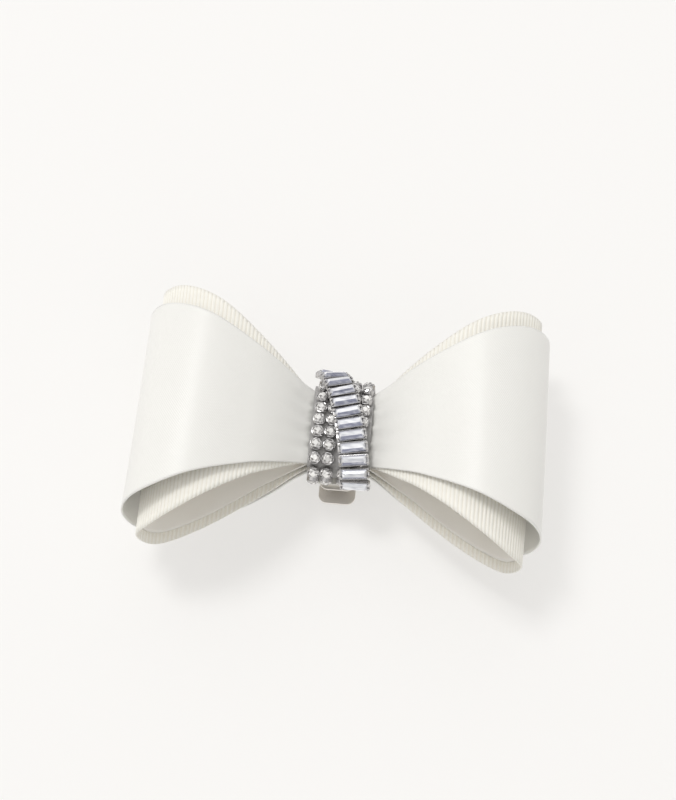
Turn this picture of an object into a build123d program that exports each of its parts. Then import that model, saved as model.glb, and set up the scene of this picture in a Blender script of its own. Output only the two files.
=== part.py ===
"""Jewelled ribbon bow brooch on a sprung clip with a safety pin.

Frame, millimetres: X along the bow, +Y towards the bow's upper edge as it is
worn, +Z out of the bow's face. The brooch lies on its back, so the lowest
metal is at Z = 0 and the knot is over the origin.
"""
import os
from math import atan, copysign, cos, degrees, pi, sin

from build123d import *

# ---- ribbons ---------------------------------------------------------------
RIBBON_THICK = 0.40          # one layer, with its sizing
KNOT_THICK = 1.08            # one wall where the pleats lie on each other
LINING_KNOT_THICK = 0.85     # the lining is thinner cloth, so its pleats lie flatter
PLEAT_REACH = 11.0           # the pleats have opened out this far from the knot
LAYER_GAP = 0.12
LINING_INSET = 2.2           # the lining is this much narrower on each side
RIBBON_TRIM = 40.0           # half depth of the blanks that the outline trims
END_MARGIN = 60.0            # the outline runs past the folds to here
INSET_STEPS = 120

# Half of each closed loop's side profile as (X, Z), from the middle of the
# front wall, round the outer fold and back to the middle of the back wall.
SATIN_PROFILE = [
    (0.0, 18.5), (6.0, 18.5), (8.5, 19.6), (20.0, 29.3), (33.0, 34.2), (43.5, 29.6),
    (47.3, 20.5), (43.6, 9.6), (32.0, 5.6), (20.0, 6.3), (9.5, 10.0), (6.0, 10.68), (0.0, 10.68),
]
GROSGRAIN_PROFILE = [
    (0.0, 16.8), (6.0, 16.8), (8.5, 18.0), (20.0, 27.7), (29.5, 30.8), (38.5, 27.6),
    (44.4, 19.6), (41.2, 14.1), (28.0, 12.5), (12.0, 11.9), (6.0, 11.9), (0.0, 11.9),
]
# Half widths along the bow as (X, half width in Y).
SATIN_OUTLINE = [(0.0, 9.1), (7.0, 9.5), (15.5, 13.1), (31.0, 20.1), (41.0, 23.7), (47.3, 25.0)]
GROSGRAIN_OUTLINE = [(0.0, 8.9), (7.0, 9.3), (15.5, 15.0), (31.0, 26.1), (41.0, 30.9), (46.0, 31.5)]
SATIN_SAG = 1.3              # the satin's left loop hangs this much lower at its fold
LOOP_REACH = 47.3            # the fold of the satin, from the knot

# ---- knot ------------------------------------------------------------------
KNOT_Y = 1.1                 # the ribbons are gathered a little above their middle
KNOT_Z = 14.2                # height of the middle of the gathered ribbons
KNOT_RISE_REACH = 22.0       # the edges are level again this far from the knot
BUNDLE_HALF_Y = 10.4
BUNDLE_FRONT_Z = 4.4         # the bundle is domed in front and flatter behind
BUNDLE_BACK_Z = 3.6
INNER_HALF_Y = 7.6           # the inner ribbons are folded to this half width in the bundle
HOOP_POWER = 2.2             # squareness of the hoops round the knot
HOOP_STEPS = 240             # samples for measuring travel round a hoop
HOOP_FACE_STEPS = 48
TRIM_BLOCK = (30.0, 16.0)    # depth and height of the blanks that trim the knot
THREAD_RADIUS = 0.15
THREAD_TURNS = 5
THREAD_PITCH = 0.45
THREAD_SLACK = 0.03
BAND_INSIDE = 0.40           # gap round the bundle that the thread fills
BAND_THICK = 0.60
BAND_HALF_WIDTH = 7.0
TRIM_WIDTH = 2 * BAND_HALF_WIDTH + 0.5
BAND_OUTSIDE = BAND_INSIDE + BAND_THICK
BAND_BACK_Z = KNOT_Z - BUNDLE_BACK_Z - BAND_OUTSIDE
SEAT_GAP = 0.02              # film of glue under each seat

# ---- stones ----------------------------------------------------------------
ROUND_RADIUS = 1.25
ROUND_CUP_RADIUS = 1.45
ROUND_CUP_HEIGHT = 1.2
ROUND_HEIGHT = 1.9
ROUND_PITCH = 3.0
ROUND_ROW_GAP = 3.05
ROUND_PER_ROW = 11
LEFT_BAND = (-3.6, 0.03)     # middle of the band and its sideways travel for each mm upwards
RIGHT_BAND = (3.45, 0.045)
BAGUETTE_LENGTH = 5.9
BAGUETTE_WIDTH = 2.25
BAGUETTE_HEIGHT = 1.95
BAGUETTE_CUP_LENGTH = 6.9
BAGUETTE_CUP_WIDTH = 2.6
BAGUETTE_CUP_HEIGHT = 1.25
BAGUETTE_PITCH = 2.8
BAGUETTE_COUNT = 12
BAGUETTE_MIDDLE_X = 1.7
BAGUETTE_SLOPE = 0.265       # sideways travel of the row for each mm round the hoop
BAGUETTE_BEND = 0.006        # how much steeper it gets towards the upper edge
BAGUETTE_SEAT = BAND_OUTSIDE + ROUND_HEIGHT + 0.05

# ---- backing and clip --------------------------------------------------------
FELT_THICK = 0.8
FELT_SIZE = (13.0, 20.0)
SHEET = 0.6                  # clip steel
PLATE_TOP = BAND_BACK_Z - FELT_THICK
PLATE_BOTTOM = PLATE_TOP - SHEET
PLATE_HALF_WIDTH = 4.2
PLATE_LOW_Y = -11.0
PLATE_HIGH_Y = 14.4
PLATE_CORNER = 2.0
SEW_HOLE_RADIUS = 0.6
SEW_HOLE_YS = (-8.5, 3.0, 9.0)
THROAT = 3.2                 # free height between the plate and the lever
LEVER_TOP = PLATE_BOTTOM - THROAT
LEVER_BOTTOM = LEVER_TOP - SHEET
TAB_HALF_WIDTH = 4.3
TAB_END_Y = -12.8
TAB_CORNER = 2.1
LEVER_WAIST = 3.5
NOSE_START_Y = 10.4
NOSE_END_Y = 14.2
TOOTH_COUNT = 5
TOOTH_DEPTH = 0.7
HINGE_Y = -4.5
HINGE_Z = LEVER_TOP + 1.7
HINGE_PIN_RADIUS = 0.6
EAR_RADIUS = 1.1
PLATE_EAR_X = 3.6            # inner face of each ear of the plate
LEVER_EAR_X = 2.9
RUNNING_GAP = 0.05
RIVET_HEAD = 0.35

# ---- spring ------------------------------------------------------------------
WIRE_RADIUS = 0.25
COIL_RADIUS = 1.0
COIL_PITCH = 0.62
COIL_TURNS = 5.5
SPRING_LEG_Y = -9.6
LEG_START = 0.14             # the legs are bars of their own, just clear of the coil's ends

# ---- brooch pin ----------------------------------------------------------------
BAR_THICK = 0.4
BAR_HALF_WIDTH = 2.6
BAR_LOW_Y = -7.0
BAR_HIGH_Y = 13.6
BAR_BOTTOM = LEVER_BOTTOM - BAR_THICK
STEM_Z = BAR_BOTTOM / 2
PIVOT_Y = -5.4
PIVOT_RADIUS = 0.4
BAR_EAR_THICK = 0.55
BAR_EAR_LENGTH = 2.8
STEM_RADIUS = 0.45
STEM_TIP_Y = 16.6
STEM_TAPER = 5.0
EYE_RADIUS = 1.15
CATCH_LOW_Y = 10.4
CATCH_HIGH_Y = 13.4
CATCH_BORE = 1.45
ROLLER_RADIUS = 1.38
ROLLER_END_Y = 14.2
SLOT_HALF_WIDTH = 0.56


def closed_profile(half):
    """A smooth closed curve in the XZ plane from its right half."""
    left = [(-x, z) for x, z in reversed(half[1:-1])]
    return Spline(*(Vector(x, 0, z) for x, z in half + left), periodic=True)


def pleated(x, reach=PLEAT_REACH):
    """How much the knot draws the ribbons in, 1 at the knot and 0 beyond its reach."""
    share = min(abs(x) / reach, 1.0)
    return 1 - share * share * (3 - 2 * share)


def inset(curve, depth, knot_depth):
    """The curve moved inwards: by depth on the loops and by knot_depth at the knot."""
    points = []
    for step in range(INSET_STEPS):
        place = curve @ (step / INSET_STEPS)
        along = curve % (step / INSET_STEPS)
        inwards = Vector(-along.Z, 0, along.X)
        amount = depth + (knot_depth - depth) * pleated(place.X)
        points.append(place + inwards * amount)
    if Face(Wire(Spline(*points, periodic=True))).area > Face(Wire(curve)).area:
        points = [2 * (curve @ (step / INSET_STEPS)) - point for step, point in enumerate(points)]
    return Spline(*points, periodic=True)


def edge_shift(x, sag):
    """How far both edges of a ribbon are moved along Y, by the knot and by its own sag."""
    return KNOT_Y * pleated(x, KNOT_RISE_REACH) + sag * min(x, 0.0) / LOOP_REACH


def plan_prism(outline, narrower, sag):
    """The outline of a gathered ribbon seen from the front, as a tall prism."""
    half = [(x, y - narrower * (1 - pleated(x))) for x, y in outline]
    stations = [(-x, y) for x, y in reversed(half[1:])] + half
    top = Spline(*((x, edge_shift(x, sag) + y) for x, y in stations))
    bottom = Spline(*((x, edge_shift(x, sag) - y) for x, y in stations))
    ends = []
    for end, far_x in ((0, -END_MARGIN), (1, END_MARGIN)):
        upper, lower = top @ end, bottom @ end
        ends.append(Polyline(upper, (far_x, upper.Y), (far_x, lower.Y), lower))
    return extrude(make_face(top + bottom + ends[0] + ends[1]), RIBBON_TRIM)


def hoop_curve(grow, share):
    """A point of the hoop round the knot and its outward direction, in the YZ plane.

    share runs from 0 to 1 once round, from the middle of the front towards +Y.
    """
    s = sin(2 * pi * share)
    c = cos(2 * pi * share)
    half_z = BUNDLE_FRONT_Z if c >= 0 else BUNDLE_BACK_Z
    y = BUNDLE_HALF_Y * copysign(abs(s) ** (2 / HOOP_POWER), s)
    z = half_z * copysign(abs(c) ** (2 / HOOP_POWER), c)
    out_y = copysign(abs(y / BUNDLE_HALF_Y) ** (HOOP_POWER - 1) / BUNDLE_HALF_Y, y)
    out_z = copysign(abs(z / half_z) ** (HOOP_POWER - 1) / half_z, z)
    out = Vector(0, out_y, out_z).normalized()
    return Vector(0, KNOT_Y + y, KNOT_Z + z) + out * grow, out


def extruded_hoop(grow, half_width):
    """A solid of the hoop's outline, grown outwards, across the knot."""
    points = [hoop_curve(grow, step / HOOP_FACE_STEPS)[0] for step in range(HOOP_FACE_STEPS)]
    return extrude(Face(Wire(Spline(*points, periodic=True))), half_width, dir=(1, 0, 0), both=True)


def hoop_stations(grow, count, pitch):
    """Places at equal steps round the front of a hoop: travel, point and outward direction."""
    samples = [hoop_curve(grow, step / HOOP_STEPS / 2) for step in range(HOOP_STEPS)]
    travel = [0.0]
    for (before, _), (after, _) in zip(samples, samples[1:]):
        travel.append(travel[-1] + (after - before).length)
    stations = []
    for index in range(count):
        distance = (index - (count - 1) / 2) * pitch
        place = next(i for i, t in enumerate(travel) if t >= abs(distance))
        point, out = samples[place]
        if distance < 0:
            point = Vector(0, 2 * KNOT_Y - point.Y, point.Z)
            out = Vector(0, -out.Y, out.Z)
        stations.append((distance, point, out))
    return stations


def knot_clearance():
    """What the ribbons leave free round the knot, where the binding pulls them in."""
    block = Pos(0, KNOT_Y, KNOT_Z) * Box(TRIM_WIDTH, *TRIM_BLOCK)
    return block - extruded_hoop(0, BAND_HALF_WIDTH + 1)


def side_clearance():
    """The plain trim that keeps the edges of the inner ribbons inside the bundle."""
    depth, height = TRIM_BLOCK
    trims = [
        Pos(0, KNOT_Y + side * (INNER_HALF_Y + depth / 2), KNOT_Z) * Box(TRIM_WIDTH, depth, height)
        for side in (-1, 1)
    ]
    return trims[0] + trims[1]


def ribbon_ring(outer, inner, outline, clearance, narrower=0.0, sag=0.0):
    """One ribbon: a closed strip whose two walls are gathered into the knot."""
    solid = extrude(Face(Wire(outer)), RIBBON_TRIM, dir=(0, 1, 0), both=True)
    solid -= extrude(Face(Wire(inner)), RIBBON_TRIM, dir=(0, 1, 0), both=True)
    solid &= plan_prism(outline, narrower, sag)
    return solid - clearance


def make_ribbons():
    satin = closed_profile(SATIN_PROFILE)
    grosgrain = closed_profile(GROSGRAIN_PROFILE)
    satin_inside = inset(satin, RIBBON_THICK, KNOT_THICK)
    grosgrain_inside = inset(grosgrain, RIBBON_THICK, KNOT_THICK)
    lining = inset(grosgrain, RIBBON_THICK + LAYER_GAP, KNOT_THICK + LAYER_GAP / 2)
    lining_inside = inset(lining, RIBBON_THICK, LINING_KNOT_THICK)
    return {
        "satin_ribbon": ribbon_ring(satin, satin_inside, SATIN_OUTLINE, knot_clearance(), sag=SATIN_SAG),
        "grosgrain_ribbon": ribbon_ring(grosgrain, grosgrain_inside, GROSGRAIN_OUTLINE, side_clearance()),
        "lining_ribbon": ribbon_ring(lining, lining_inside, GROSGRAIN_OUTLINE, side_clearance(), LINING_INSET),
    }


def make_thread():
    """Turns of strong thread that draw the ribbons together."""
    turn = extruded_hoop(THREAD_RADIUS * 2 + THREAD_SLACK, THREAD_RADIUS)
    turn -= extruded_hoop(THREAD_SLACK, THREAD_RADIUS)
    middle = (THREAD_TURNS - 1) / 2
    return Compound([Pos((index - middle) * THREAD_PITCH, 0, 0) * turn for index in range(THREAD_TURNS)])


def make_centre_band():
    """The strip of ribbon closed round the knot, under the stones."""
    return extruded_hoop(BAND_OUTSIDE, BAND_HALF_WIDTH) - extruded_hoop(BAND_INSIDE, BAND_HALF_WIDTH)


def seated(shape, x, point, out, turn=0.0):
    """The shape, built standing on its own XY plane, set on the hoop at a station."""
    place = Plane(origin=(x, point.Y, point.Z), x_dir=(1, 0, 0), z_dir=out)
    return place.location * Rot(0, 0, turn) * shape


def round_stone():
    """A faceted round stone as its turned profile: table, crown, girdle and point."""
    profile = Polyline(
        (0, 0.3), (ROUND_RADIUS, 1.1), (ROUND_RADIUS, 1.2), (0.65, ROUND_HEIGHT), (0, ROUND_HEIGHT), close=True
    )
    return revolve(Plane.XZ * make_face(profile), Axis.Z)


def round_cup():
    """A metal cup with a cone-shaped seat and a closed bottom."""
    profile = Polyline(
        (0, 0), (ROUND_CUP_RADIUS, 0), (ROUND_CUP_RADIUS, ROUND_CUP_HEIGHT),
        (ROUND_RADIUS + 0.04, ROUND_CUP_HEIGHT), (ROUND_RADIUS + 0.04, 1.08), (0, 0.24), close=True
    )
    return revolve(Plane.XZ * make_face(profile), Axis.Z)


def baguette_stone():
    """A step-cut oblong stone, long across the row."""
    keel = Plane.XY.offset(0.35) * Rectangle(BAGUETTE_LENGTH - 1.3, BAGUETTE_WIDTH - 1.3)
    girdle = Plane.XY.offset(1.2) * Rectangle(BAGUETTE_LENGTH, BAGUETTE_WIDTH)
    table = Plane.XY.offset(BAGUETTE_HEIGHT) * Rectangle(BAGUETTE_LENGTH - 1.2, BAGUETTE_WIDTH - 1.1)
    return loft([keel, girdle], ruled=True) + loft([girdle, table], ruled=True)


def baguette_cup():
    """An oblong setting: a floor and four walls round the stone."""
    height = BAGUETTE_CUP_HEIGHT
    block = Pos(0, 0, height / 2) * Box(BAGUETTE_CUP_LENGTH, BAGUETTE_CUP_WIDTH, height)
    pocket = Pos(0, 0, height / 2 + 0.3) * Box(BAGUETTE_LENGTH + 0.1, BAGUETTE_WIDTH + 0.1, height)
    return block - pocket


def round_band(shape, middle_x, slope):
    """Two rows of the shape round the knot."""
    pieces = []
    for travel, point, out in hoop_stations(BAND_OUTSIDE + SEAT_GAP, ROUND_PER_ROW, ROUND_PITCH):
        for side in (-0.5, 0.5):
            pieces.append(seated(shape, middle_x + slope * travel + side * ROUND_ROW_GAP, point, out))
    return Compound(pieces)


def baguette_band(shape):
    """One slanting row of the shape, over the two round rows."""
    pieces = []
    for travel, point, out in hoop_stations(BAGUETTE_SEAT, BAGUETTE_COUNT, BAGUETTE_PITCH):
        x = BAGUETTE_MIDDLE_X - BAGUETTE_SLOPE * travel - BAGUETTE_BEND * travel**2
        turn = degrees(atan(BAGUETTE_SLOPE + 2 * BAGUETTE_BEND * travel))
        pieces.append(seated(shape, x, point, out, turn))
    return Compound(pieces)


def make_felt_pad():
    pad = extrude(RectangleRounded(*FELT_SIZE, 3), FELT_THICK)
    return Pos(0, 0, PLATE_TOP) * pad


def upright(face_shape, x_low, thickness):
    """A flat shape drawn as (Y, Z), given its thickness along X."""
    plane = Plane(origin=(x_low, 0, 0), x_dir=(0, 1, 0), z_dir=(1, 0, 0))
    return extrude(plane * face_shape, thickness)


def both_sides(shape):
    return [shape, mirror(shape, Plane.YZ)]


def cross_rod(radius, half_length, y, z):
    return Pos(0, y, z) * Rot(0, 90, 0) * Cylinder(radius, 2 * half_length)


def hinge_ear(x_low, from_z, thickness):
    """A round-ended lug from a sheet at from_z to the hinge pin."""
    web = Pos(HINGE_Y, (from_z + HINGE_Z) / 2) * Rectangle(2 * EAR_RADIUS, abs(from_z - HINGE_Z))
    lug = web + Pos(HINGE_Y, HINGE_Z) * Circle(EAR_RADIUS)
    return upright(lug, x_low, thickness)


def make_clip_plate():
    """The fixed half of the clip, sewn to the felt, with two lugs for the hinge pin."""
    length = PLATE_HIGH_Y - PLATE_LOW_Y
    sheet = extrude(RectangleRounded(2 * PLATE_HALF_WIDTH, length, PLATE_CORNER), SHEET)
    plate = Pos(0, (PLATE_HIGH_Y + PLATE_LOW_Y) / 2, PLATE_BOTTOM) * sheet
    for ear in both_sides(hinge_ear(PLATE_EAR_X, PLATE_BOTTOM + 0.2, SHEET)):
        plate += ear
    for y in SEW_HOLE_YS:
        plate -= Pos(0, y, PLATE_BOTTOM) * Cylinder(SEW_HOLE_RADIUS, 4 * SHEET)
    return plate - cross_rod(HINGE_PIN_RADIUS + 0.02, 10, HINGE_Y, HINGE_Z)


def make_clip_lever():
    """The sprung half: thumb tab, hinge lugs, waist and a toothed nose."""
    tab_length = HINGE_Y - 2.5 - TAB_END_Y
    tab_middle = TAB_END_Y + tab_length / 2
    tab = Pos(0, tab_middle) * RectangleRounded(2 * TAB_HALF_WIDTH, tab_length, TAB_CORNER)
    waist_low = HINGE_Y - 4.5
    waist = Pos(0, (waist_low + NOSE_START_Y) / 2) * Rectangle(2 * LEVER_WAIST, NOSE_START_Y - waist_low)
    lever = Pos(0, 0, LEVER_BOTTOM) * extrude(tab + waist, SHEET)
    nose = Polyline(
        (NOSE_START_Y - 0.3, LEVER_BOTTOM), (NOSE_START_Y + 0.2, LEVER_BOTTOM), (NOSE_END_Y, PLATE_BOTTOM - 1.4),
        (NOSE_END_Y, PLATE_BOTTOM - 0.06), (NOSE_END_Y - SHEET, PLATE_BOTTOM - 0.06),
        (NOSE_END_Y - SHEET, PLATE_BOTTOM - 1.1), (NOSE_START_Y - 0.3, LEVER_TOP), close=True,
    )
    lever += upright(make_face(nose), -LEVER_WAIST, 2 * LEVER_WAIST)
    pitch = 2 * LEVER_WAIST / TOOTH_COUNT
    for tooth in range(TOOTH_COUNT - 1):
        x = -LEVER_WAIST + (tooth + 1) * pitch
        notch = Polyline((x - 0.45, PLATE_BOTTOM), (x, PLATE_BOTTOM - TOOTH_DEPTH), (x + 0.45, PLATE_BOTTOM), close=True)
        lever -= Pos(0, NOSE_END_Y + 1, 0) * extrude(Plane.XZ * make_face(notch), 3)
    for ear in both_sides(hinge_ear(LEVER_EAR_X, LEVER_TOP - 0.2, SHEET)):
        lever += ear
    return lever - cross_rod(HINGE_PIN_RADIUS + RUNNING_GAP, 10, HINGE_Y, HINGE_Z)


def make_clip_hinge_pin():
    """A rivet through both pairs of lugs, closed over at both ends."""
    outside = PLATE_EAR_X + SHEET
    pin = cross_rod(HINGE_PIN_RADIUS, outside + RIVET_HEAD, HINGE_Y, HINGE_Z)
    for side in (-1, 1):
        head = cross_rod(EAR_RADIUS * 0.85, RIVET_HEAD / 2, HINGE_Y, HINGE_Z)
        pin += Pos(side * (outside + RIVET_HEAD / 2 + 0.01), 0, 0) * head
    return pin


def make_clip_spring():
    """A torsion spring round the rivet; its two legs push the thumb tabs apart."""
    height = COIL_PITCH * COIL_TURNS
    coil = Helix(COIL_PITCH, height, COIL_RADIUS)
    section = Plane(origin=coil @ 0, z_dir=coil % 0) * Circle(WIRE_RADIUS)
    wire = sweep(section, path=coil, is_frenet=True)
    pieces = [Pos(-height / 2, HINGE_Y, HINGE_Z) * Rot(0, 90, 0) * wire]
    seat = WIRE_RADIUS + 0.02
    for x, side, end_z in ((-height / 2, -1, LEVER_TOP + seat), (height / 2, 1, PLATE_BOTTOM - seat)):
        root = Vector(x, HINGE_Y - LEG_START, HINGE_Z + side * COIL_RADIUS)
        run = Vector(x, SPRING_LEG_Y, end_z) - root
        leg = Cylinder(WIRE_RADIUS, run.length, align=(Align.CENTER, Align.CENTER, Align.MIN))
        pieces.append(Plane(origin=root, z_dir=run).location * leg)
    return Compound(pieces)


def make_pin_bar():
    """The brooch bar under the lever: lugs for the stem at one end and the catch at the other."""
    length = BAR_HIGH_Y - BAR_LOW_Y
    strip = Pos(0, (BAR_HIGH_Y + BAR_LOW_Y) / 2, BAR_BOTTOM) * extrude(
        RectangleRounded(2 * BAR_HALF_WIDTH, length, 0.8), BAR_THICK
    )
    lug = Pos(PIVOT_Y, BAR_BOTTOM / 2 + 0.05) * RectangleRounded(BAR_EAR_LENGTH, BAR_BOTTOM + 0.1, 0.5)
    for ear in both_sides(upright(lug, BAR_HALF_WIDTH - BAR_EAR_THICK, BAR_EAR_THICK)):
        strip += ear
    catch_length = CATCH_HIGH_Y - CATCH_LOW_Y
    block = Pos(0, (CATCH_LOW_Y + CATCH_HIGH_Y) / 2, (BAR_BOTTOM + 0.1) / 2)
    strip += block * Box(2 * BAR_HALF_WIDTH, catch_length, BAR_BOTTOM + 0.1)
    strip -= along_y(CATCH_BORE, CATCH_LOW_Y - 1, CATCH_HIGH_Y + 1)
    slot = Pos(0, (CATCH_LOW_Y + CATCH_HIGH_Y) / 2, 0) * Box(2 * SLOT_HALF_WIDTH, catch_length + 2, 2 * STEM_Z)
    strip -= slot
    return strip - cross_rod(PIVOT_RADIUS + 0.02, 10, PIVOT_Y, STEM_Z)


def along_y(radius, low_y, high_y):
    """A cylinder on the stem's axis between two places along Y."""
    return Pos(0, (low_y + high_y) / 2, STEM_Z) * Rot(90, 0, 0) * Cylinder(radius, high_y - low_y)


def make_pin_stem():
    """The needle: a rolled eye, a straight stem and a ground point."""
    needle = along_y(STEM_RADIUS, PIVOT_Y, STEM_TIP_Y - STEM_TAPER)
    tip = Cone(STEM_RADIUS, 0.06, STEM_TAPER)
    needle += Pos(0, STEM_TIP_Y - STEM_TAPER / 2, STEM_Z) * Rot(-90, 0, 0) * tip
    eye_half = BAR_HALF_WIDTH - BAR_EAR_THICK - RUNNING_GAP
    needle += cross_rod(EYE_RADIUS, eye_half, PIVOT_Y, STEM_Z)
    return needle - cross_rod(PIVOT_RADIUS + RUNNING_GAP, 10, PIVOT_Y, STEM_Z)


def make_pin_rivet():
    rivet = cross_rod(PIVOT_RADIUS, BAR_HALF_WIDTH + 0.25, PIVOT_Y, STEM_Z)
    for side in (-1, 1):
        head = cross_rod(PIVOT_RADIUS * 1.8, 0.12, PIVOT_Y, STEM_Z)
        rivet += Pos(side * (BAR_HALF_WIDTH + 0.13), 0, 0) * head
    return rivet


def make_safety_roller():
    """The slotted barrel that turns in the catch and shuts the point in."""
    barrel = along_y(ROLLER_RADIUS, CATCH_LOW_Y - 0.3, ROLLER_END_Y)
    knob_width = ROLLER_RADIUS + 0.5
    knob = Pos(-knob_width / 2, ROLLER_END_Y - 0.3, STEM_Z) * Box(knob_width, 0.6, 1.5)
    slot = Pos(0, (CATCH_LOW_Y + ROLLER_END_Y) / 2, 0) * Box(2 * SLOT_HALF_WIDTH, 8, 2 * STEM_Z)
    bore = along_y(SLOT_HALF_WIDTH, CATCH_LOW_Y - 1, ROLLER_END_Y + 1)
    return barrel + knob - slot - bore


def main():
    os.makedirs("parts", exist_ok=True)
    nodes = make_ribbons()
    nodes["binding_thread"] = make_thread()
    nodes["centre_band"] = make_centre_band()
    nodes["left_round_cups"] = round_band(round_cup(), *LEFT_BAND)
    nodes["left_round_stones"] = round_band(round_stone(), *LEFT_BAND)
    nodes["right_round_cups"] = round_band(round_cup(), *RIGHT_BAND)
    nodes["right_round_stones"] = round_band(round_stone(), *RIGHT_BAND)
    nodes["baguette_cups"] = baguette_band(baguette_cup())
    nodes["baguette_stones"] = baguette_band(baguette_stone())
    nodes["felt_pad"] = make_felt_pad()
    nodes["clip_plate"] = make_clip_plate()
    nodes["clip_lever"] = make_clip_lever()
    nodes["clip_hinge_pin"] = make_clip_hinge_pin()
    nodes["clip_spring"] = make_clip_spring()
    nodes["pin_bar"] = make_pin_bar()
    nodes["pin_stem"] = make_pin_stem()
    nodes["pin_rivet"] = make_pin_rivet()
    nodes["safety_roller"] = make_safety_roller()
    for name, shape in nodes.items():
        export_step(shape, f"parts/{name}.step")


main()
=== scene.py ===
import math

import bmesh
import bpy
import numpy as np
from mathutils import Matrix, Vector


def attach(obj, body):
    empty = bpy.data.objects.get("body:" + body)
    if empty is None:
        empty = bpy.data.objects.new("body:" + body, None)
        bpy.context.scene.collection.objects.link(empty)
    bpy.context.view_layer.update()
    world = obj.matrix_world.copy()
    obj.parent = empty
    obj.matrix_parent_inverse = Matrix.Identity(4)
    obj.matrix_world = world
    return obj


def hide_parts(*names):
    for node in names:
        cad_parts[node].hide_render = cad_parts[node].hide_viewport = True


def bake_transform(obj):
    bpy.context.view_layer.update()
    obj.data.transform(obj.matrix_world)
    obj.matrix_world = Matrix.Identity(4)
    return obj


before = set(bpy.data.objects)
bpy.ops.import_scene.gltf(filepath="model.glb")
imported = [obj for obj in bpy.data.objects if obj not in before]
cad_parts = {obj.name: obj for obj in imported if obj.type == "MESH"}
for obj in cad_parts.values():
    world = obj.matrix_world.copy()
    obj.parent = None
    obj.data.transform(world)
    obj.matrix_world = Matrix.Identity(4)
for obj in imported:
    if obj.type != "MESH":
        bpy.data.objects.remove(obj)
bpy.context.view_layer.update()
MM = 0.001


# ---- shader maths -----------------------------------------------------------
class Sock:
    """A socket in a material, with arithmetic."""

    def __init__(self, tree, socket):
        self.tree = tree
        self.socket = socket

    def maths(self, operation, *others):
        inputs = dict(enumerate((self, *others)))
        return node(self.tree, "ShaderNodeMath", {"operation": operation}, inputs)

    def __add__(self, other):
        return self.maths("ADD", other)

    def __mul__(self, other):
        return self.maths("MULTIPLY", other)

    def __sub__(self, other):
        return self.maths("SUBTRACT", other)

    def __rsub__(self, other):
        return self.maths("MULTIPLY", -1.0).maths("ADD", other)

    def __truediv__(self, other):
        return self.maths("DIVIDE", other)

    def __pow__(self, other):
        return self.maths("POWER", other)

    __radd__ = __add__
    __rmul__ = __mul__


def node(tree, kind, settings=None, inputs=None, output=0):
    """A node of any type: its settings first, then its sockets' values or links."""
    made = tree.nodes.new(kind)
    for name, value in (settings or {}).items():
        setattr(made, name, value)
    for name, value in (inputs or {}).items():
        if isinstance(value, Sock):
            tree.links.new(value.socket, made.inputs[name])
        elif isinstance(value, tuple) and len(value) == 3 and made.inputs[name].type == "RGBA":
            made.inputs[name].default_value = (*value, 1)
        else:
            made.inputs[name].default_value = value
    return Sock(tree, made.outputs[output])


def mix_colour(tree, share, first, second):
    inputs = {0: share, 6: first, 7: second}
    return node(tree, "ShaderNodeMix", {"data_type": "RGBA"}, inputs, 2)


def new_material(name, **constants):
    """A material with a Principled shader, whose constant values are set on the shader itself."""
    material = bpy.data.materials.new(name)
    material.use_nodes = True
    shader = material.node_tree.nodes["Principled BSDF"]
    for key, value in constants.items():
        socket = shader.inputs[key.replace("_", " ").title().replace("Ior", "IOR")]
        socket.default_value = (*value, 1) if isinstance(value, tuple) and len(value) == 3 else value
    return material, material.node_tree, shader


def feed(tree, shader, name, source):
    tree.links.new(source.socket, shader.inputs[name])


def bumped(tree, height, distance, strength=1.0):
    return node(tree, "ShaderNodeBump", {}, {"Strength": strength, "Distance": distance, "Height": height})


def along_and_across(tree):
    """The ribbon's own lengths in millimetres: along it and across it."""
    uv = node(tree, "ShaderNodeUVMap", {"uv_map": "cloth"})
    parts = tree.nodes.new("ShaderNodeSeparateXYZ")
    tree.links.new(uv.socket, parts.inputs[0])
    return Sock(tree, parts.outputs[0]), Sock(tree, parts.outputs[1]), uv


# ---- finishes -----------------------------------------------------------------
def satin_finish():
    """Ivory satin: floats that run slantwise, a soft sheen and a firm selvedge."""
    material, tree, shader = new_material(
        "ivory_satin", roughness=0.36, sheen_weight=0.25, sheen_roughness=0.4,
        specular_ior_level=0.45, anisotropic=0.45,
    )
    along, across, uv = along_and_across(tree)
    twill = ((along * 1.0 + across * 0.62) * (2 * math.pi / 0.52)).maths("SINE")
    floats = ((across * 1.0 - along * 0.16) * (2 * math.pi / 0.21)).maths("SINE")
    slub = node(tree, "ShaderNodeTexNoise", {}, {"Vector": uv, "Scale": 0.9, "Detail": 3.0})
    patch = node(tree, "ShaderNodeTexNoise", {}, {"Vector": uv, "Scale": 0.09, "Detail": 2.0})
    tone = (twill * 0.5 + 0.5) * (patch * 0.9) + slub * 0.3
    colour = mix_colour(tree, tone, (0.845, 0.838, 0.805), (0.795, 0.788, 0.752))
    feed(tree, shader, "Base Color", colour)
    feed(tree, shader, "Roughness", slub * 0.10 + twill * 0.02 + 0.32)
    feed(tree, shader, "Normal", bumped(tree, twill * 0.5 + floats * 0.3 + slub * 0.4, 0.00003, 0.5))
    return material


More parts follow.
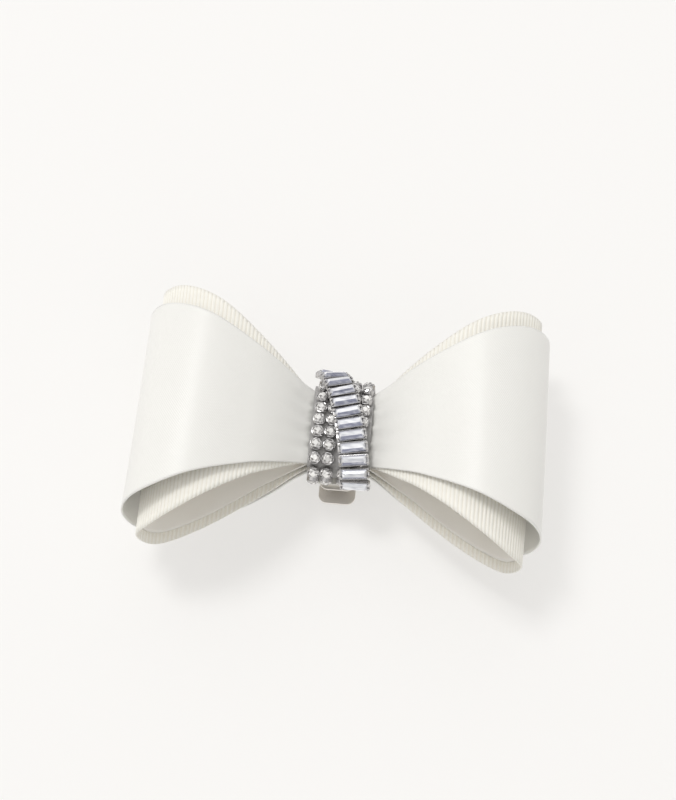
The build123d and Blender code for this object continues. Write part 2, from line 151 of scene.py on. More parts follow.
def grosgrain_finish():
    """Cream grosgrain: matt, with yarns that cross each rib and painted shade in the grooves between the
    ribs.
    """
    material, tree, shader = new_material(
        "cream_grosgrain", roughness=0.8, sheen_weight=0.3, specular_ior_level=0.25,
    )
    along, across, uv = along_and_across(tree)
    rib = (along * (math.pi / RIB_PITCH)).maths("SINE").maths("ABSOLUTE")
    yarn = (across * (2 * math.pi / 0.33)).maths("SINE")
    fuzz = node(tree, "ShaderNodeTexNoise", {}, {"Vector": uv, "Scale": 2.2, "Detail": 4.0})
    # Painted shade: the grooves between the ribs are mixed towards the darker colour; the fuzz adds random
    # tone.
    tone = (1 - rib) ** 2.0 * 0.8 + fuzz * 0.25
    feed(tree, shader, "Base Color", mix_colour(tree, tone, (0.93, 0.915, 0.855), (0.80, 0.76, 0.665)))
    feed(tree, shader, "Roughness", fuzz * 0.15 + 0.7)
    feed(tree, shader, "Normal", bumped(tree, yarn * 0.5 + fuzz, 0.00004, 0.6))
    return material


def lining_finish():
    """The smooth ribbon inside the loops."""
    material, tree, shader = new_material("oatmeal_lining", roughness=0.55, sheen_weight=0.2)
    along, across, uv = along_and_across(tree)
    weave = (along * (2 * math.pi / 0.3)).maths("SINE") * (across * (2 * math.pi / 0.3)).maths("SINE")
    cloud = node(tree, "ShaderNodeTexNoise", {}, {"Vector": uv, "Scale": 0.15, "Detail": 3.0})
    feed(tree, shader, "Base Color", mix_colour(tree, cloud, (0.90, 0.88, 0.835), (0.86, 0.83, 0.775)))
    feed(tree, shader, "Roughness", cloud * 0.15 + 0.45)
    feed(tree, shader, "Normal", bumped(tree, weave, 0.00002, 0.4))
    return material


def metal_finish(name, colour, dark, rough, brushed=0.0, scale=900.0):
    """Plated or brushed metal with fine scratches and a little tarnish."""
    material, tree, shader = new_material(name, metallic=1.0)
    place = node(tree, "ShaderNodeTexCoord", {}, {}, 3)
    stretch = (scale, scale * 0.04, scale * 0.04) if brushed else (scale, scale, scale)
    grain_place = node(tree, "ShaderNodeMapping", {}, {"Vector": place, "Scale": stretch})
    grain = node(tree, "ShaderNodeTexNoise", {}, {"Vector": grain_place, "Scale": 1.0, "Detail": 4.0})
    stain = node(tree, "ShaderNodeTexNoise", {}, {"Vector": place, "Scale": 260.0, "Detail": 3.0})
    feed(tree, shader, "Base Color", mix_colour(tree, stain * 0.6 + grain * 0.4, colour, dark))
    feed(tree, shader, "Roughness", grain * 0.25 + (rough - 0.1))
    feed(tree, shader, "Normal", bumped(tree, grain, 0.00002, 0.3 + brushed))
    return material


def stone_finish(name, colour, deep):
    """Cut glass with a foiled back, with painted reflections: each facet is mixed towards a dark colour by
    its painted shade, with painted streaks on top.
    """
    material, tree, shader = new_material(
        name, metallic=0.45, roughness=0.04, ior=1.6, coat_weight=1.0, coat_roughness=0.02,
    )
    place = node(tree, "ShaderNodeTexCoord", {}, {}, 3)
    painted_facet_shade = node(tree, "ShaderNodeAttribute", {"attribute_name": "shade"}, {}, 2)
    streak_place = node(tree, "ShaderNodeMapping", {}, {"Vector": place, "Scale": (500.0, 1500.0, 1500.0)})
    streaks = node(tree, "ShaderNodeTexNoise", {}, {"Vector": streak_place, "Scale": 1.0, "Detail": 1.0})
    # Painted reflection: each facet's painted shade and the streaks set how far its colour goes towards the
    # dark one.
    tone = (painted_facet_shade + (streaks - 0.5) * 1.3).maths("MINIMUM", 1.0).maths("MAXIMUM", 0.0)
    feed(tree, shader, "Base Color", mix_colour(tree, tone, colour, deep))
    feed(tree, shader, "Roughness", streaks * 0.06 + 0.02)
    return material


def felt_finish(name, light, dark):
    """Soft fibres, for the felt pad and the plain cloth and thread of the knot."""
    material, tree, shader = new_material(name, roughness=0.95, sheen_weight=0.5)
    place = node(tree, "ShaderNodeTexCoord", {}, {}, 3)
    fibre = node(tree, "ShaderNodeTexNoise", {}, {"Vector": place, "Scale": 2600.0, "Detail": 5.0})
    feed(tree, shader, "Base Color", mix_colour(tree, fibre, light, dark))
    feed(tree, shader, "Roughness", fibre * 0.1 + 0.88)
    feed(tree, shader, "Normal", bumped(tree, fibre, 0.0002, 0.7))
    return material


# ---- ribbons --------------------------------------------------------------------
RIB_PITCH = 0.98             # millimetres between the grosgrain's ribs
RIB_HEIGHT = 0.2
CLOTH = 0.34                 # thickness of each ribbon
PLEAT_COUNT = 5.0
DEEP_PLEATS = 9.0
PLEAT_DEPTH = 0.34
EDGE_DROP = 0.9              # the gathered edges turn down by this much
DEEP_PLEAT_DEPTH = 0.4
PLEAT_START = 3.0            # the pleats ease out from here
PLEAT_REACH = 16.0
RIPPLE = 0.16                # slow waviness of the cloth's edges
LINING_FULLNESS = 2.25       # the lining's pleats are this much deeper
GROSGRAIN_FAN = 0.022        # the inner ribbons' upper ends reach out by this share
LINING_CLEARANCE = 0.22
SATIN_PROFILE = [
    (0.0, 18.3), (6.0, 18.3), (8.5, 19.4), (20.0, 29.3), (33.0, 34.2), (43.5, 29.6),
    (47.3, 20.5), (43.6, 9.6), (32.0, 5.6), (20.0, 6.3), (9.5, 10.0), (6.0, 10.68), (0.0, 10.68),
]
GROSGRAIN_PROFILE = [
    (0.0, 17.4), (6.0, 17.4), (8.5, 18.4), (20.0, 27.9), (29.5, 30.8), (38.5, 27.6),
    (44.4, 19.6), (41.2, 14.1), (28.0, 12.5), (12.0, 11.9), (6.0, 11.5), (0.0, 11.5),
]
SATIN_OUTLINE = [(0.0, 9.1), (7.0, 9.5), (15.5, 13.1), (31.0, 20.1), (41.0, 23.7), (47.3, 25.0)]
GROSGRAIN_OUTLINE = [(0.0, 8.9), (7.0, 9.3), (15.5, 15.0), (31.0, 26.1), (41.0, 30.9), (46.0, 31.5)]
LINING_INSET = 2.6
SATIN_SAG = 1.3              # the satin's left loop hangs this much lower at its fold
LOOP_REACH = 47.3            # the satin's fold, from the knot


KNOT_Y = 1.1                 # the ribbons are gathered a little above their middle
KNOT_Z = 14.2
KNOT_RISE_REACH = 22.0
BUNDLE_HALF_Y = 10.4
BUNDLE_FRONT_Z = 4.4
BUNDLE_BACK_Z = 3.6
HOOP_POWER = 2.2


def smooth_through(points, count, closed):
    """A smooth curve through the points, at equal steps along its length."""
    points = np.array(points, float)
    if closed:
        padded = np.vstack([points[-2:], points, points[:3]])
    else:
        padded = np.vstack([2 * points[0] - points[1], points, 2 * points[-1] - points[-2]])
    knots = np.concatenate([[0], np.cumsum(np.linalg.norm(np.diff(padded, axis=0), axis=1) ** 0.5)])
    dense = []
    first = 2 if closed else 1
    spans = len(points) if closed else len(points) - 1
    for i in range(first, first + spans):
        p = padded[i - 1:i + 3]
        t = knots[i - 1:i + 3]
        for s in np.linspace(t[1], t[2], 60, endpoint=False):
            a = [((t[j + 1] - s) * p[j] + (s - t[j]) * p[j + 1]) / (t[j + 1] - t[j]) for j in range(3)]
            b = [((t[j + 2] - s) * a[j] + (s - t[j]) * a[j + 1]) / (t[j + 2] - t[j]) for j in range(2)]
            dense.append(((t[2] - s) * b[0] + (s - t[1]) * b[1]) / (t[2] - t[1]))
    dense.append(dense[0] if closed else points[-1])
    dense = np.array(dense)
    travel = np.concatenate([[0], np.cumsum(np.linalg.norm(np.diff(dense, axis=0), axis=1))])
    wanted = np.linspace(0, travel[-1], count + 1)[:-1] if closed else np.linspace(0, travel[-1], count)
    line = np.stack([np.interp(wanted, travel, dense[:, k]) for k in range(2)], 1)
    return line, travel[-1]


def ring_profile(half, count):
    """The closed side profile of a bow ring from its right half."""
    left = [(-x, z) for x, z in reversed(half[1:-1])]
    return smooth_through(half + left, count, True)


def outward(line):
    along = np.roll(line, -1, 0) - np.roll(line, 1, 0)
    along /= np.linalg.norm(along, axis=1)[:, None]
    return np.stack([-along[:, 1], along[:, 0]], 1)


def gathered(x):
    """1 at the knot, easing to 0 where the pleats have opened out."""
    share = np.clip((np.abs(x) - PLEAT_START) / PLEAT_REACH, 0, 1)
    return 1 - share * share * (3 - 2 * share)


def ribbon_mesh(name, line, length, outline, narrower, rows, fullness=1.0, sag=0.0, fan=0.0):
    """A closed ring of ribbon, pleated at the knot, with its lengths as a UV map."""
    curve, _ = smooth_through(outline, 200, False)
    out = outward(line)
    if np.mean(out[:, 1] * (line[:, 1] - line[:, 1].mean())) < 0:
        out = -out
    count = len(line)
    x = line[:, 0]
    half = np.interp(np.abs(x), curve[:, 0], curve[:, 1]) - narrower * (1 - gathered(x))
    across = np.linspace(-1, 1, rows)
    grid_y = half[:, None] * across[None, :]
    fold = gathered(x)[:, None] ** 1.6
    bundle = np.interp(np.abs(x), curve[:, 0], curve[:, 1])[:, None]
    wave = np.cos(math.pi * PLEAT_COUNT * grid_y / bundle)
    front = np.where(line[:, 1] > 14.0, 1.0, -1.0)[:, None]
    lift = front * fold * (PLEAT_DEPTH * (wave - 1) - EDGE_DROP * np.abs(grid_y / bundle) ** 3)
    deep = np.clip((8.0 - np.abs(x)) / 3.0, 0, 1)[:, None]
    deep_wave = np.cos(math.pi * DEEP_PLEATS * grid_y / bundle)
    lift = lift + front * deep * DEEP_PLEAT_DEPTH * (deep_wave - 1)
    lift *= fullness
    ripple = RIPPLE * np.sin(0.11 * x + 0.6)[:, None] * across[None, :] ** 2
    rise = np.clip(np.abs(x) / KNOT_RISE_REACH, 0, 1)
    shift = KNOT_Y * (1 - rise * rise * (3 - 2 * rise)) + sag * np.minimum(x, 0) / LOOP_REACH
    spread = 1 + fan * across[None, :] * np.clip((np.abs(x) - 12) / 30, 0, 1)[:, None]
    vertices = np.zeros((count, rows, 3))
    vertices[:, :, 0] = x[:, None] * spread + out[:, :1] * ripple
    vertices[:, :, 1] = grid_y + shift[:, None]
    vertices[:, :, 2] = line[:, 1:] + out[:, 1:] * ripple + lift
    faces = []
    for i in range(count):
        j = (i + 1) % count
        for k in range(rows - 1):
            faces.append((i * rows + k, j * rows + k, j * rows + k + 1, i * rows + k + 1))
    mesh = bpy.data.meshes.new(name)
    mesh.from_pydata([tuple(v) for v in (vertices * MM).reshape(-1, 3)], [], faces)
    layer = mesh.uv_layers.new(name="cloth")
    step = length / count
    uvs = []
    for i in range(count):
        for k in range(rows - 1):
            u0, u1 = i * step, (i + 1) * step
            v0, v1 = (across[k] * half.max(), across[k + 1] * half.max())
            uvs += [u0, v0, u1, v0, u1, v1, u0, v1]
    layer.data.foreach_set("uv", uvs)
    travel = mesh.attributes.new("travel", "FLOAT", "POINT")
    travel.data.foreach_set("value", np.repeat(np.arange(count) * step, rows).astype(np.float32))
    mesh.polygons.foreach_set("use_smooth", [True] * len(mesh.polygons))
    obj = bpy.data.objects.new(name, mesh)
    bpy.context.collection.objects.link(obj)
    return obj


def give_thickness(obj, thick):
    """Cloth thickness inwards from the outer face."""
    wall = obj.modifiers.new("thickness", "SOLIDIFY")
    wall.thickness = thick * MM
    wall.offset = -1.0
    wall.use_even_offset = False
    apply_modifiers(obj)


def apply_modifiers(obj):
    depsgraph = bpy.context.evaluated_depsgraph_get()
    mesh = bpy.data.meshes.new_from_object(
        obj.evaluated_get(depsgraph), preserve_all_data_layers=True, depsgraph=depsgraph,
    )
    obj.modifiers.clear()
    obj.data = mesh


def new_tree(name, **inputs):
    """A geometry node tree with a geometry input and output and the named inputs."""
    tree = bpy.data.node_groups.new(name, "GeometryNodeTree")
    tree.interface.new_socket("Geometry", in_out="INPUT", socket_type="NodeSocketGeometry")
    for label, kind in inputs.items():
        label = label.replace("_", " ")
        tree.interface.new_socket(label, in_out="INPUT", socket_type=f"NodeSocket{kind}")
    tree.interface.new_socket("Geometry", in_out="OUTPUT", socket_type="NodeSocketGeometry")
    return tree, tree.nodes.new("NodeGroupInput"), tree.nodes.new("NodeGroupOutput")


def realised(tree, geometry, material):
    """The end of each tree: real geometry with its material set."""
    real = node(tree, "GeometryNodeRealizeInstances", {}, {"Geometry": geometry})
    return node(tree, "GeometryNodeSetMaterial", {}, {"Geometry": real, "Material": material})


def rib_tree():
    """Geometry nodes that raise ribs across a ribbon, from its length attribute."""
    tree, given, result = new_tree("grosgrain_ribs", Rib_pitch="Float", Rib_height="Float", Cloth="Material")
    pitch = Sock(tree, given.outputs["Rib pitch"])
    height = Sock(tree, given.outputs["Rib height"])
    travel = node(tree, "GeometryNodeInputNamedAttribute", {"data_type": "FLOAT"}, {"Name": "travel"})
    rib = (travel * math.pi / pitch).maths("SINE").maths("ABSOLUTE")
    normal = node(tree, "GeometryNodeInputNormal")
    lift = {0: normal, "Scale": (rib - 1.0) * height}
    rise = node(tree, "ShaderNodeVectorMath", {"operation": "SCALE"}, lift)
    plain = Sock(tree, given.outputs["Geometry"])
    moved = node(tree, "GeometryNodeSetPosition", {}, {"Geometry": plain, "Offset": rise})
    done = realised(tree, moved, Sock(tree, given.outputs["Cloth"]))
    tree.links.new(done.socket, result.inputs["Geometry"])
    return tree


def run_tree(obj, tree, **values):
    """Puts a geometry node tree on the object with its named inputs, and keeps the result."""
    modifier = obj.modifiers.new(tree.name, "NODES")
    modifier.node_group = tree
    for item in tree.interface.items_tree:
        if item.in_out == "INPUT" and item.name in values:
            modifier[item.identifier] = values[item.name]
    apply_modifiers(obj)
    return obj


def finish_ribbon(obj, node_name):
    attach(obj, "bow")
    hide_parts(node_name)


def make_ribbons():
    satin_line, satin_length = ring_profile(SATIN_PROFILE, 460)
    satin = ribbon_mesh(
        "outer_satin_ribbon", satin_line, satin_length, SATIN_OUTLINE, 0.0, 73, sag=SATIN_SAG,
    )
    satin.data.materials.append(satin_finish())
    give_thickness(satin, CLOTH)
    finish_ribbon(satin, "satin_ribbon")

    line, length = ring_profile(GROSGRAIN_PROFILE, 1200)
    ribs = round(length / RIB_PITCH)
    grosgrain = ribbon_mesh(
        "ribbed_grosgrain_ribbon", line, ribs * RIB_PITCH, GROSGRAIN_OUTLINE, 0.0, 37, fan=GROSGRAIN_FAN,
    )
    cloth = grosgrain_finish()
    grosgrain.data.materials.append(cloth)
    values = {"Rib pitch": RIB_PITCH, "Rib height": RIB_HEIGHT * MM, "Cloth": cloth}
    run_tree(grosgrain, rib_tree(), **values)
    give_thickness(grosgrain, CLOTH)
    finish_ribbon(grosgrain, "grosgrain_ribbon")

    out = outward(line)
    if np.mean(out[:, 1] * (line[:, 1] - line[:, 1].mean())) < 0:
        out = -out
    inner = line - out * (CLOTH + LINING_CLEARANCE)
    coarse = inner[::3]
    lining_length = np.linalg.norm(np.roll(coarse, -1, 0) - coarse, axis=1).sum()
    lining = ribbon_mesh(
        "smooth_lining_ribbon", coarse, lining_length, GROSGRAIN_OUTLINE, LINING_INSET, 73,
        LINING_FULLNESS, fan=GROSGRAIN_FAN,
    )
    lining.data.materials.append(lining_finish())
    give_thickness(lining, CLOTH)
    finish_ribbon(lining, "lining_ribbon")


# ---- knot -------------------------------------------------------------------------
BAND_SEAT = 1.0              # the band's outer face stands this far off the bundle
ROUND_HEIGHT = 1.9
ROUND_PITCH = 3.0
ROUND_ROW_GAP = 3.05
ROUND_PER_ROW = 11
LEFT_BAND = (-3.6, 0.03)     # middle of the band and its sideways travel for each mm upwards
RIGHT_BAND = (3.45, 0.045)
BAGUETTE_SEAT = BAND_SEAT + ROUND_HEIGHT + 0.05
BAGUETTE_PITCH = 2.8
BAGUETTE_COUNT = 12
BAGUETTE_MIDDLE_X = 1.7
BAGUETTE_SLOPE = 0.265
BAGUETTE_BEND = 0.006


def hoop_point(grow, angle):
    """A point of the hoop round the knot and its outward direction, as (Y, Z) pairs."""
    s, c = math.sin(angle), math.cos(angle)
    half_z = BUNDLE_FRONT_Z if c >= 0 else BUNDLE_BACK_Z
    y = BUNDLE_HALF_Y * math.copysign(abs(s) ** (2 / HOOP_POWER), s)
    z = half_z * math.copysign(abs(c) ** (2 / HOOP_POWER), c)
    ny = math.copysign(abs(y / BUNDLE_HALF_Y) ** (HOOP_POWER - 1) / BUNDLE_HALF_Y, y)
    nz = math.copysign(abs(z / half_z) ** (HOOP_POWER - 1) / half_z, z)
    size = math.hypot(ny, nz)
    return (y + grow * ny / size, KNOT_Z + z + grow * nz / size), (ny / size, nz / size)


def hoop_stations(grow, count, pitch):
    """Places at equal steps round the front of the hoop: travel, point, outward direction."""
    steps = 1200
    samples = [hoop_point(grow, math.pi * step / steps) for step in range(steps)]
    travel = [0.0]
    for (before, _), (after, _) in zip(samples, samples[1:]):
        travel.append(travel[-1] + math.dist(before, after))
    found = []
    for index in range(count):
        distance = (index - (count - 1) / 2) * pitch
        spot = next(i for i, t in enumerate(travel) if t >= abs(distance))
        (y, z), (ny, nz) = samples[spot]
        sign = -1 if distance < 0 else 1
        found.append((distance, (KNOT_Y + y * sign, z), (ny * sign, nz)))
    return found


def seat_points(name, seats):
    """A cloud of seats, each with its outward and its crossways direction."""
    mesh = bpy.data.meshes.new(name)
    mesh.from_pydata([tuple(c * MM for c in place) for place, _, _ in seats], [], [])
    for label, column in (("outward", 1), ("crossways", 2)):
        layer = mesh.attributes.new(label, "FLOAT_VECTOR", "POINT")
        layer.data.foreach_set("vector", [c for seat in seats for c in seat[column]])
    obj = bpy.data.objects.new(name, mesh)
    bpy.context.collection.objects.link(obj)
    return obj


def setting_tree():
    """Geometry nodes that set one shape on every seat and turn it to face outwards."""
    tree, given, result = new_tree(
        "set_on_seats", Shape="Object", Finish="Material", Lean="Float", Seed="Int",
    )
    vector = {"data_type": "FLOAT_VECTOR"}
    outward_way = node(tree, "GeometryNodeInputNamedAttribute", vector, {"Name": "outward"})
    crossways = node(tree, "GeometryNodeInputNamedAttribute", vector, {"Name": "crossways"})
    faced = node(tree, "FunctionNodeAlignRotationToVector", {"axis": "Z"}, {"Vector": outward_way})
    turned = node(
        tree, "FunctionNodeAlignRotationToVector", {"axis": "X", "pivot_axis": "Z"},
        {"Rotation": faced, "Vector": crossways},
    )
    lean = Sock(tree, given.outputs["Lean"])
    seed = Sock(tree, given.outputs["Seed"])
    wobble = node(
        tree, "FunctionNodeRandomValue", vector, {"Min": (-1, -1, -1), "Max": (1, 1, 1), "Seed": seed}
    )
    sway = node(tree, "ShaderNodeVectorMath", {"operation": "SCALE"}, {0: wobble, "Scale": lean})
    eased = node(
        tree, "FunctionNodeRotateRotation", {"rotation_space": "LOCAL"},
        {"Rotation": turned, "Rotate By": sway},
    )
    chosen = Sock(tree, given.outputs["Shape"])
    shape = node(tree, "GeometryNodeObjectInfo", {}, {"Object": chosen}, "Geometry")
    placed = node(
        tree, "GeometryNodeInstanceOnPoints", {},
        {"Points": Sock(tree, given.outputs["Geometry"]), "Instance": shape, "Rotation": eased},
    )
    done = realised(tree, placed, Sock(tree, given.outputs["Finish"]))
    tree.links.new(done.socket, result.inputs["Geometry"])
    return tree


def pattern_shape(name, rings, shades=None):
    """A closed shape from a stack of equal-sided rings of (x, y, z) corners, in millimetres.

    shades gives a painted shade for each side facet of a level, and last for the top: how dark that facet's
    painted reflection is.
    """
    vertices = [tuple(c * MM for c in corner) for ring in rings for corner in ring]
    size = len(rings[0])
    faces = [tuple(reversed(range(size)))]
    for level in range(len(rings) - 1):
        low, high = level * size, (level + 1) * size
        for k in range(size):
            n = (k + 1) % size
            faces.append((low + k, low + n, high + n, high + k))
    faces.append(tuple(range((len(rings) - 1) * size, len(rings) * size)))
    mesh = bpy.data.meshes.new(name)
    mesh.from_pydata(vertices, [], faces)
    mesh.update()
    if shades:
        layer = mesh.attributes.new("shade", "FLOAT", "FACE")
        painted_facet_shades = [1.0] + [painted_facet_shade for level in shades[:-1] for painted_facet_shade in level] + [shades[-1]]
        layer.data.foreach_set("value", painted_facet_shades)
    return bpy.data.objects.new(name, mesh)


def circle_ring(radius, z, corners, turn=0.0):
    step = 2 * math.pi / corners
    angles = [k * step + turn for k in range(corners)]
    return [(radius * math.cos(angle), radius * math.sin(angle), z) for angle in angles]


def chaton():
    """A brilliant-cut round stone: point, girdle, two rows of crown facets and table."""
    turn = math.pi / 8
    return pattern_shape("chaton_cut", [
        circle_ring(0.18, 0.38, 8, turn), circle_ring(1.22, 1.08, 8, 0), circle_ring(1.25, 1.22, 8, turn),
        circle_ring(1.0, 1.5, 8, 0), circle_ring(0.58, 1.88, 8, turn),
    ], [
        # Painted reflections: the pavilion and girdle facets are painted dark, the two crown rows alternate
        # light and dark, and the table is light.
        [0.9] * 8, [0.6] * 8, [0.1, 0.95, 0.3, 0.8, 0.05, 0.9, 0.45, 0.7],
        [0.8, 0.15, 0.6, 0.0, 0.95, 0.25, 0.7, 0.1], 0.1,
    ])


def oblong_ring(length, width, z, cut):
    """A rectangle with its four corners cut off."""
    a, b = length / 2, width / 2
    return [
        (a - cut, -b, z), (a, -b + cut, z), (a, b - cut, z), (a - cut, b, z),
        (-a + cut, b, z), (-a, b - cut, z), (-a, -b + cut, z), (-a + cut, -b, z),
    ]


def baguette():
    """A step-cut oblong stone with two steps of facets round a narrow table."""
    return pattern_shape("baguette_cut", [
        oblong_ring(4.6, 1.0, 0.34, 0.12), oblong_ring(5.85, 2.2, 1.1, 0.18),
        oblong_ring(5.9, 2.25, 1.24, 0.18),
        oblong_ring(5.3, 1.65, 1.66, 0.16), oblong_ring(4.6, 0.9, 1.97, 0.12),
    ], [
        # Painted reflections: the lower long facets (last of each row) are painted darkest, the upper long
        # facets and the table light.
        [0.9] * 8, [0.7] * 8, [0.6, 0.3, 0.2, 0.25, 0.5, 0.35, 0.6, 0.75],
        [0.5, 0.2, 0.1, 0.05, 0.4, 0.15, 0.9, 1.0], 0.12,
    ])


def join_shapes(name, parts):
    """One mesh from several closed shapes."""
    bm = bmesh.new()
    for part, place in parts:
        mesh = part.data.copy()
        mesh.transform(place)
        bm.from_mesh(mesh)
    bmesh.ops.recalc_face_normals(bm, faces=bm.faces)
    mesh = bpy.data.meshes.new(name)
    bm.to_mesh(mesh)
    bm.free()
    return bpy.data.objects.new(name, mesh)


def claw(height, reach, width):
    """One bent claw that laps over a stone's crown."""
    bend = height * 0.8
    return pattern_shape("claw_shape", [
        [(-width, 0.12, 0.1), (-width, -0.12, 0.1), (width, -0.12, 0.1), (width, 0.12, 0.1)],
        [(-width, 0.10, bend), (-width, -0.14, bend), (width, -0.14, bend), (width, 0.10, bend)],
        [(-width * 0.6, reach + 0.1, height), (-width * 0.7, reach - 0.2, height + 0.12),
         (width * 0.7, reach - 0.2, height + 0.12), (width * 0.6, reach + 0.1, height)],
    ])


def round_cup():
    """A stamped cup: a short well with four claws at its corners."""
    well = pattern_shape("cup_well", [
        circle_ring(1.25, 0.02, 12), circle_ring(1.45, 0.2, 12), circle_ring(1.45, 1.12, 12),
        circle_ring(1.29, 1.16, 12), circle_ring(1.14, 0.86, 12), circle_ring(0.2, 0.3, 12),
    ])
    grip = claw(1.42, 0.3, 0.36)
    places = []
    for quarter in range(4):
        angle = math.pi / 4 + quarter * math.pi / 2
        spot = Matrix.Rotation(angle, 4, "Z") @ Matrix.Translation((0, -1.4 * MM, 0))
        places.append((grip, spot))
    return join_shapes("round_cup_shape", [(well, Matrix.Identity(4))] + places)


def baguette_cup():
    """An oblong setting: a tray with a claw at each corner."""
    tray = pattern_shape("tray_well", [
        oblong_ring(6.5, 2.4, 0.02, 0.2), oblong_ring(6.9, 2.6, 0.2, 0.25),
        oblong_ring(6.9, 2.6, 1.16, 0.25),
        oblong_ring(6.15, 2.4, 1.2, 0.2), oblong_ring(6.0, 2.3, 0.9, 0.2), oblong_ring(4.6, 0.9, 0.26, 0.1),
    ])
    grip = claw(1.62, 0.55, 0.26)
    parts = [(tray, Matrix.Identity(4))]
    for side in (-1, 1):
        for end in (-1, 1):
            turn = Matrix.Rotation(math.pi / 2 * (1 if side > 0 else -1), 4, "Z")
            parts.append((grip, Matrix.Translation((side * 3.36 * MM, end * 0.72 * MM, 0)) @ turn))
    return join_shapes("baguette_cup_shape", parts)


def band_seats(middle_x, slope):
    seats = []
    for travel, (y, z), (ny, nz) in hoop_stations(BAND_SEAT + 0.02, ROUND_PER_ROW, ROUND_PITCH):
        for side in (-0.5, 0.5):
            seats.append(((middle_x + slope * travel + side * ROUND_ROW_GAP, y, z), (0, ny, nz), (1, 0, 0)))
    return seats


def baguette_seats():
    seats = []
    for travel, (y, z), (ny, nz) in hoop_stations(BAGUETTE_SEAT, BAGUETTE_COUNT, BAGUETTE_PITCH):
        out = Vector((0, ny, nz))
        slant = math.atan(BAGUETTE_SLOPE + 2 * BAGUETTE_BEND * travel)
        cross = Vector((1, 0, 0)) * math.cos(slant) + out.cross(Vector((1, 0, 0))) * math.sin(slant)
        x = BAGUETTE_MIDDLE_X - BAGUETTE_SLOPE * travel - BAGUETTE_BEND * travel**2
        seats.append(((x, y, z), tuple(out), tuple(cross)))
    return seats


def set_pieces(name, seats, shape, finish, tree, node_name, lean, seed):
    obj = seat_points(name, seats)
    run_tree(obj, tree, Shape=shape, Finish=finish, Lean=lean, Seed=seed)
    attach(obj, "bow")
    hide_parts(node_name)
    return obj


def make_knot():
    tree = setting_tree()
    silver = metal_finish("silver_settings", (0.92, 0.91, 0.90), (0.30, 0.29, 0.30), 0.22)
    # The second colour of each stone is the dark of its painted reflections.
    clear = stone_finish("clear_foiled_glass", (1.0, 0.99, 0.97), (0.20, 0.19, 0.19))
    lilac = stone_finish("lilac_foiled_glass", (0.96, 0.97, 1.0), (0.24, 0.25, 0.34))
    cup, stone = round_cup(), chaton()
    for side, band, seed in (("left", LEFT_BAND, 3), ("right", RIGHT_BAND, 8)):
        seats = band_seats(*band)
        set_pieces(
            f"{side}_claw_cups", seats, cup, silver, tree,
            f"{side}_round_cups", 0.03, seed,
        )
        set_pieces(
            f"{side}_chatons", seats, stone, clear, tree,
            f"{side}_round_stones", 0.09, seed + 1,
        )
    seats = baguette_seats()
    tray = baguette_cup()
    set_pieces("baguette_trays", seats, tray, silver, tree, "baguette_cups", 0.015, 21)
    set_pieces("cut_baguettes", seats, baguette(), lilac, tree, "baguette_stones", 0.03, 22)


# ---- clip and pin -------------------------------------------------------------------
HINGE = (-4.5, 6.7)
COIL_RADIUS = 1.0
WIRE_RADIUS = 0.25
COIL_TURNS = 5.5
COIL_HALF = 1.705
LEG_END_Y = -9.6


def make_spring(finish):
    """The torsion spring: one wire from leg to coil to leg."""
    hinge_y, hinge_z = HINGE
    points = [(-COIL_HALF, LEG_END_Y, 5.27)]
    turns = int(COIL_TURNS * 24)
    for step in range(turns + 1):
        angle = 2 * math.pi * step / 24
        x = -COIL_HALF + 2 * COIL_HALF * step / turns
        points.append((x, hinge_y + COIL_RADIUS * math.sin(angle), hinge_z - COIL_RADIUS * math.cos(angle)))
    points.append((COIL_HALF, LEG_END_Y, 7.93))
    curve = bpy.data.curves.new("spring_path", "CURVE")
    curve.dimensions = "3D"
    curve.bevel_depth = WIRE_RADIUS * MM
    curve.bevel_resolution = 3
    curve.use_fill_caps = True
    spline = curve.splines.new("POLY")
    spline.points.add(len(points) - 1)
    for target, point in zip(spline.points, points):
        target.co = (*(c * MM for c in point), 1)
    obj = bpy.data.objects.new("torsion_spring", curve)
    bpy.context.collection.objects.link(obj)
    depsgraph = bpy.context.evaluated_depsgraph_get()
    mesh = bpy.data.meshes.new_from_object(obj.evaluated_get(depsgraph), depsgraph=depsgraph)
    bpy.data.objects.remove(obj)
    spring = bpy.data.objects.new("torsion_spring", mesh)
    bpy.context.collection.objects.link(spring)
    mesh.polygons.foreach_set("use_smooth", [True] * len(mesh.polygons))
    mesh.materials.clear()
    mesh.materials.append(finish)
    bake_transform(spring)
    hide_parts("clip_spring")
    return spring


def refinish(node_name, material):
    """A better finish for a CAD piece whose shape is already right."""
    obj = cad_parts[node_name]
    for slot in obj.material_slots:
        slot.material = material


def make_metalwork():
    brushed = metal_finish("brushed_clip_steel", (0.95, 0.92, 0.88), (0.80, 0.77, 0.73), 0.42, 0.3)
    nickel = metal_finish("nickel_plate", (0.75, 0.74, 0.72), (0.6, 0.59, 0.57), 0.2)
    wire = metal_finish("drawn_wire", (0.68, 0.68, 0.68), (0.5, 0.5, 0.5), 0.24)
    for name in ("clip_plate", "clip_lever"):
        refinish(name, brushed)
    for name in ("clip_hinge_pin", "pin_bar", "pin_rivet", "safety_roller"):
        refinish(name, nickel)
    refinish("pin_stem", wire)
    refinish("felt_pad", felt_finish("pressed_felt", (0.86, 0.85, 0.81), (0.70, 0.68, 0.62)))
    # Painted shade: the knot's band is white ribbon, coloured mid-grey for the shade it lies in under the
    # stones.
    refinish("centre_band", felt_finish("knot_cloth", (0.46, 0.455, 0.44), (0.26, 0.25, 0.25)))
    refinish("binding_thread", felt_finish("strong_thread", (0.88, 0.87, 0.84), (0.66, 0.64, 0.6)))
    make_spring(wire)


# ---- studio ---------------------------------------------------------------------------
def area_light(name, place, aim, size, power, colour=(1, 1, 1)):
    data = bpy.data.lights.new(name, "AREA")
    data.shape = "RECTANGLE"
    data.size, data.size_y = size
    data.energy = power
    data.color = colour
    obj = bpy.data.objects.new(name, data)
    obj.location = place
    obj.rotation_euler = (Vector(aim) - Vector(place)).to_track_quat("-Z", "Y").to_euler()
    bpy.context.collection.objects.link(obj)


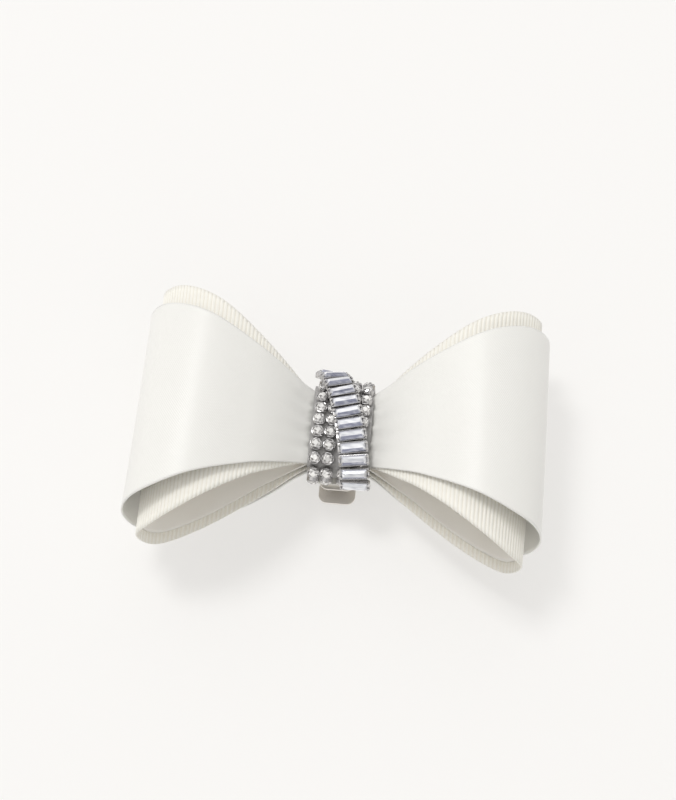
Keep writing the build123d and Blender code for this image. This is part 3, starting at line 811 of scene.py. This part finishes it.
def make_studio():
    mesh = bpy.data.meshes.new("studio_floor")
    mesh.from_pydata([(-2, -2, 0), (2, -2, 0), (2, 2, 0), (-2, 2, 0)], [], [(0, 1, 2, 3)])
    floor = bpy.data.objects.new("studio_floor", mesh)
    bpy.context.collection.objects.link(floor)
    material, _, _ = new_material(
        "pale_floor", roughness=0.9, base_color=(0.42, 0.416, 0.408), specular_ior_level=0.1,
        emission_color=(1.0, 0.985, 0.965), emission_strength=0.5,
    )
    mesh.materials.append(material)
    world = bpy.data.worlds.new("studio")
    bpy.context.scene.world = world
    world.use_nodes = True
    backdrop = world.node_tree.nodes["Background"]
    way = node(world.node_tree, "ShaderNodeTexCoord")
    patches = node(world.node_tree, "ShaderNodeTexNoise", {}, {"Vector": way, "Scale": 3.2, "Detail": 1.0})
    glow = ((patches - 0.4) * 7.0).maths("MINIMUM", 1.0).maths("MAXIMUM", 0.0)
    light = mix_colour(world.node_tree, glow, (0.5, 0.498, 0.495), (1.06, 1.05, 1.035))
    seen = node(world.node_tree, "ShaderNodeLightPath")
    feed(world.node_tree, backdrop, "Color", mix_colour(world.node_tree, seen, light, (1.03, 1.02, 1.0)))
    backdrop.inputs["Strength"].default_value = 0.92
    area_light("key_softbox", (-0.9, 0.6, 2.4), (0, 0, 0.01), (0.7, 0.7), 24.0)


SENSOR = 36.0
CAMERA_AZIMUTH = 5.2         # degrees round from the lower edge
CAMERA_ELEVATION = 62.0
CAMERA_DISTANCE = 440.0      # from the knot
AIM_Z = 16.9                 # height of the spot that the camera is placed from
VIEW_HEIGHT = 186.05         # what the picture spans at that distance
VIEW_SHIFT = (-0.70, 7.44)   # how far the view's middle is from that spot, right and up


def make_camera():
    """Looks down on the bow's face from its lower edge."""
    azimuth, elevation = math.radians(CAMERA_AZIMUTH), math.radians(CAMERA_ELEVATION)
    level = math.cos(elevation)
    back = Vector((math.sin(azimuth) * level, -math.cos(azimuth) * level, math.sin(elevation)))
    right = Vector((math.cos(azimuth), math.sin(azimuth), 0))
    up = back.cross(right)
    data = bpy.data.cameras.new("studio_camera")
    data.sensor_fit = "VERTICAL"
    data.sensor_height = SENSOR
    data.lens = SENSOR * CAMERA_DISTANCE / VIEW_HEIGHT
    data.clip_start = 0.01
    camera = bpy.data.objects.new("studio_camera", data)
    shift_right, shift_up = VIEW_SHIFT
    aim = Vector((0, 0, AIM_Z)) + back * CAMERA_DISTANCE + right * shift_right + up * shift_up
    camera.location = aim * MM
    camera.rotation_euler = Matrix((right, up, back)).transposed().to_euler()
    bpy.context.collection.objects.link(camera)
    bpy.context.scene.camera = camera


def main():
    bpy.context.scene.view_settings.view_transform = "Standard"
    make_ribbons()
    make_knot()
    make_metalwork()
    make_studio()
    make_camera()


main()
